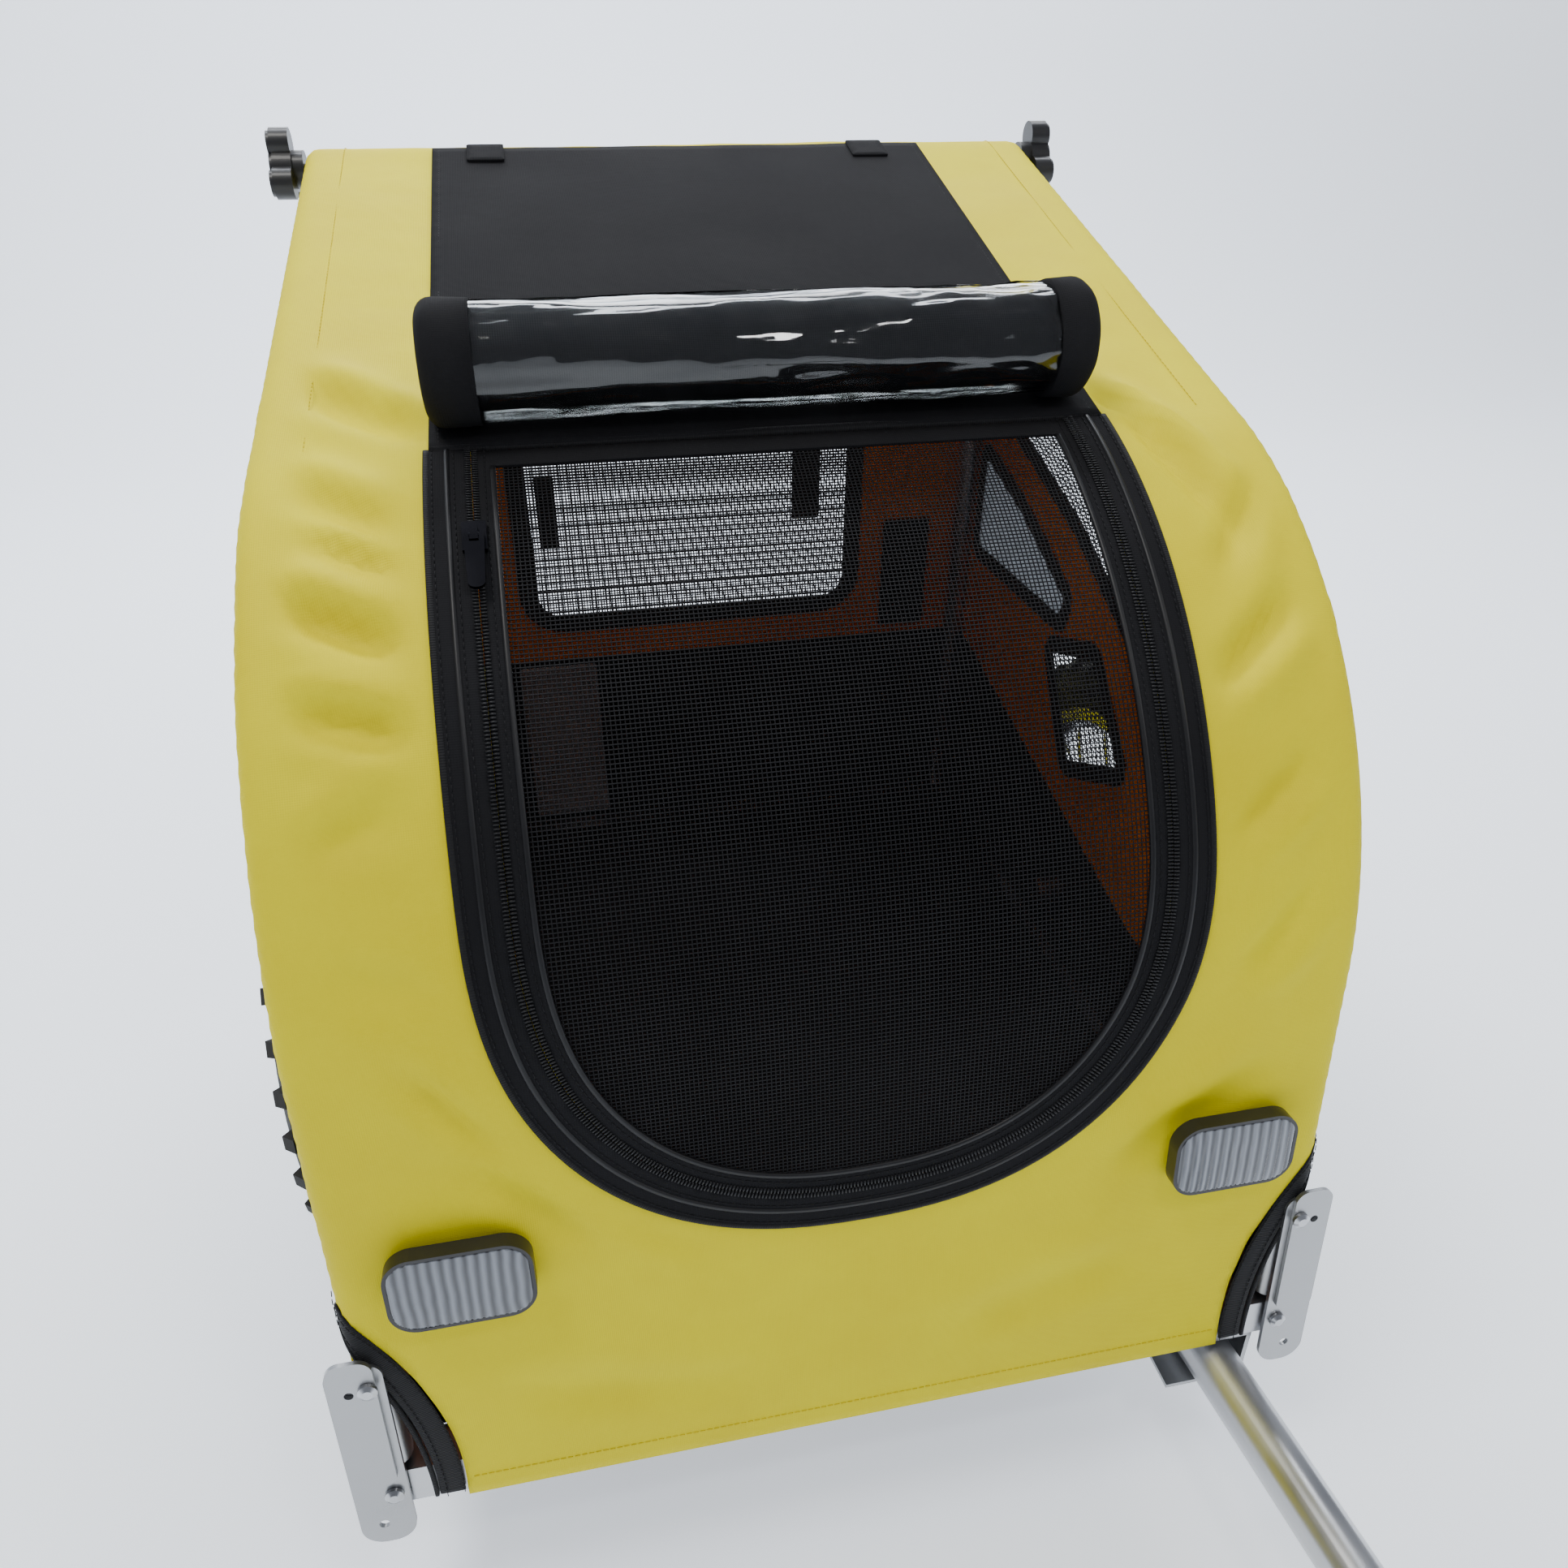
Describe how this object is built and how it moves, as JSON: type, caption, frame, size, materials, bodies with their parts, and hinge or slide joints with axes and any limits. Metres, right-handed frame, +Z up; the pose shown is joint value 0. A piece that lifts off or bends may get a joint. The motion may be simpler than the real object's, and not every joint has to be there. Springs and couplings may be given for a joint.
{
  "type": "child bicycle trailer",
  "caption": "Low two-wheeled fabric cabin on a tube frame with a lifting screen door, a rolled clear cover on its roof and a side tow arm ending in a pinned axle hitch.",
  "frame": {"origin": "middle of the footprint, on the road", "axes": "+X to the trailer's left side, -Y forwards to the bicycle, +Z up"},
  "size_m": [0.696, 1.5012, 0.7916],
  "materials": {
    "aluminium_tube": "satin anodised tube",
    "pressed_steel": "zinc-plated pressed steel",
    "bolt_steel": "plated screws, bolts, spokes and axles",
    "yellow_fabric": "coated woven fabric",
    "black_fabric": "coated woven fabric",
    "black_binding": "woven binding tape",
    "black_mesh": "fly mesh, seen through",
    "grey_fabric": "light grey woven fabric",
    "clear_vinyl": "soft clear vinyl film",
    "black_plastic": "moulded plastic",
    "reflector_clear": "clear prismatic lens",
    "tyre_rubber": "knobbly rubber",
    "rim_alloy": "polished rim",
    "black_metal": "gloss black enamel",
    "black_rubber": "moulded rubber"
  },
  "bodies": {
    "chassis": {"axle_crossbar": "aluminium_tube", "axle_plate_bolts": "bolt_steel", "axle_plate_left": "pressed_steel", "axle_plate_right": "pressed_steel", "base_front_tube": "aluminium_tube", "base_rails": "aluminium_tube", "base_rear_tube": "aluminium_tube", "bracket_screws": "bolt_steel", "corner_bindings": "black_binding", "corner_brackets": "pressed_steel", "cover_roll": "clear_vinyl", "fabric_tabs": "black_binding", "floor_panel": "black_fabric", "front_skin": "yellow_fabric", "hoop_left": "aluminium_tube", "hoop_right": "aluminium_tube", "pivot_plates": "pressed_steel", "rear_lower_wall": "black_fabric", "rear_pocket": "grey_fabric", "rear_skin": "yellow_fabric", "rear_top_crossbar": "aluminium_tube", "reflector_housings": "black_plastic", "reflector_lenses": "reflector_clear", "roll_caps": "black_binding", "roll_strip": "black_fabric", "roof_panel": "black_fabric", "roof_skin": "yellow_fabric", "side_lower_left": "black_fabric", "side_lower_right": "black_fabric", "side_panel_left": "yellow_fabric", "side_panel_right": "yellow_fabric", "side_windows": "clear_vinyl", "stub_axle_left": "bolt_steel", "stub_axle_right": "bolt_steel", "tow_bracket": "pressed_steel", "tow_bracket_bolts": "bolt_steel", "window_mesh": "black_mesh", "zip_tape": "black_binding"},
    "wheel_left": {"tyre_left": "tyre_rubber", "rim_left": "rim_alloy", "hub_left": "black_plastic", "spokes_left": "bolt_steel"},
    "wheel_right": {"tyre_right": "tyre_rubber", "rim_right": "rim_alloy", "hub_right": "black_plastic", "spokes_right": "bolt_steel"},
    "button_left": {"release_button_left": "black_plastic"},
    "button_right": {"release_button_right": "black_plastic"},
    "top_knob_left": {"knob_left": "black_plastic"},
    "top_knob_right": {"knob_right": "black_plastic"},
    "screen_door": {"door_mesh": "black_mesh", "door_border": "black_binding", "zip_slider": "black_metal"},
    "zip_tab": {"zip_pull": "black_metal"},
    "arm": {"tow_arm": "aluminium_tube", "arm_end_plug": "black_plastic", "hitch_block": "black_rubber", "hitch_tongue": "pressed_steel"},
    "bike_hitch": {"axle_hitch": "pressed_steel"},
    "lock_pin": {"hitch_pin": "bolt_steel"}
  },
  "joints": [
    {"name": "wheel_left_spin", "type": "hinge", "parent": "chassis", "child": "wheel_left", "pos_m": [0.32, 0.42064, 0.2], "axis": [1, 0, 0], "continuous": true},
    {"name": "wheel_right_spin", "type": "hinge", "parent": "chassis", "child": "wheel_right", "pos_m": [-0.32, 0.42064, 0.2], "axis": [1, 0, 0], "continuous": true},
    {"name": "button_left_press", "type": "slide", "parent": "chassis", "child": "button_left", "axis": [-1, 0, 0], "range_m": [0, 0.004], "stiffness_N_per_m": 600},
    {"name": "button_right_press", "type": "slide", "parent": "chassis", "child": "button_right", "axis": [1, 0, 0], "range_m": [0, 0.004], "stiffness_N_per_m": 600},
    {"name": "knob_left_turn", "type": "hinge", "parent": "chassis", "child": "top_knob_left", "pos_m": [0.29, 0.67059, 0.76368], "axis": [1, 0, 0], "continuous": true},
    {"name": "knob_right_turn", "type": "hinge", "parent": "chassis", "child": "top_knob_right", "pos_m": [-0.29, 0.67059, 0.76368], "axis": [-1, 0, 0], "continuous": true},
    {"name": "screen_door_lift", "type": "hinge", "parent": "chassis", "child": "screen_door", "pos_m": [0, 0.26779, 0.642], "axis": [-1, 0, 0], "range_deg": [0, 75]},
    {"name": "zip_pull_swing", "type": "hinge", "parent": "screen_door", "child": "zip_tab", "pos_m": [-0.16575, 0.20161, 0.61723], "axis": [-1, 0, 0], "range_deg": [0, 110]},
    {"name": "tow_arm_swing", "type": "hinge", "parent": "chassis", "child": "arm", "pos_m": [0.232, 0.0894, 0.0875], "axis": [0, 0, -1], "range_deg": [0, 80]},
    {"name": "hitch_swivel", "type": "hinge", "parent": "arm", "child": "bike_hitch", "pos_m": [0.12, -0.6906, 0.3], "axis": [0, 0, 1], "range_deg": [-40, 40]},
    {"name": "hitch_pin_pull", "type": "slide", "parent": "bike_hitch", "child": "lock_pin", "axis": [0, 0, 1], "range_m": [0, 0.035]}
  ]
}
